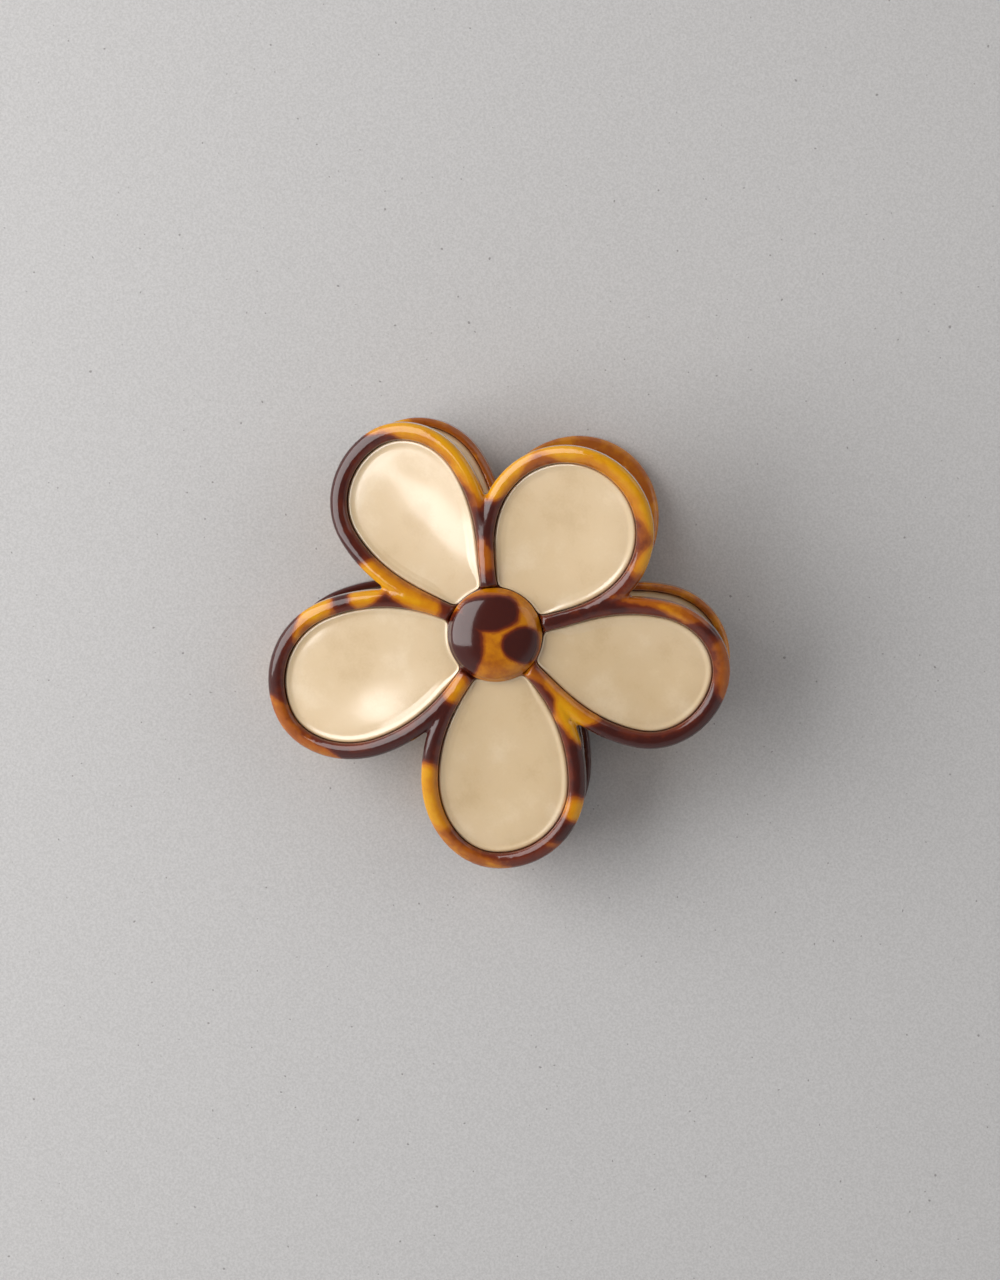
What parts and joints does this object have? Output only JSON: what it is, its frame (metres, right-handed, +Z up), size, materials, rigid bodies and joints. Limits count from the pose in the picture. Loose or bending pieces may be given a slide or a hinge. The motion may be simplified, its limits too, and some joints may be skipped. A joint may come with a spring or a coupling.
{
  "type": "flower hair clip",
  "caption": "Sprung claw clip whose two hinged jaws are flowers: tortoise-pattern bead frames, pearly petal inlays, domed buttons and meshing teeth.",
  "frame": {"origin": "under the middle of the closed clip's box, on the surface that the clip lies on", "axes": "+X along the hinge pin, +Y from the toothed mouth towards the two lever petals, +Z up through the front flower; the clip lies on its rear flower"},
  "size_m": [0.0784, 0.0774, 0.0417],
  "materials": {
    "tortoise_plastic": "polished translucent amber plastic with soft-edged dark red-brown blotches",
    "pearl_inlay": "glossy pearly cream plastic, faintly translucent",
    "spring_steel": "plain drawn steel wire and rod"
  },
  "bodies": {
    "rear_jaw": {"rear_frame": "tortoise_plastic", "rear_inlay_lever": "pearl_inlay", "rear_inlay_side_left": "pearl_inlay", "rear_inlay_side_right": "pearl_inlay", "rear_inlay_mouth_left": "pearl_inlay", "rear_inlay_mouth_right": "pearl_inlay", "rear_button": "tortoise_plastic", "hinge_pin": "spring_steel", "torsion_spring": "spring_steel"},
    "front_jaw": {"front_frame": "tortoise_plastic", "front_inlay_lever": "pearl_inlay", "front_inlay_side_left": "pearl_inlay", "front_inlay_side_right": "pearl_inlay", "front_inlay_mouth_left": "pearl_inlay", "front_inlay_mouth_right": "pearl_inlay", "front_button": "tortoise_plastic"}
  },
  "joints": [
    {"name": "jaw_hinge", "type": "hinge", "parent": "rear_jaw", "child": "front_jaw", "pos_m": [0, 0.00191, 0.01559], "axis": [-1, 0, 0], "range_deg": [0, 45], "stiffness_Nm_per_rad": 0.25, "springref_deg": -34.38, "deforming": ["torsion_spring"]}
  ]
}
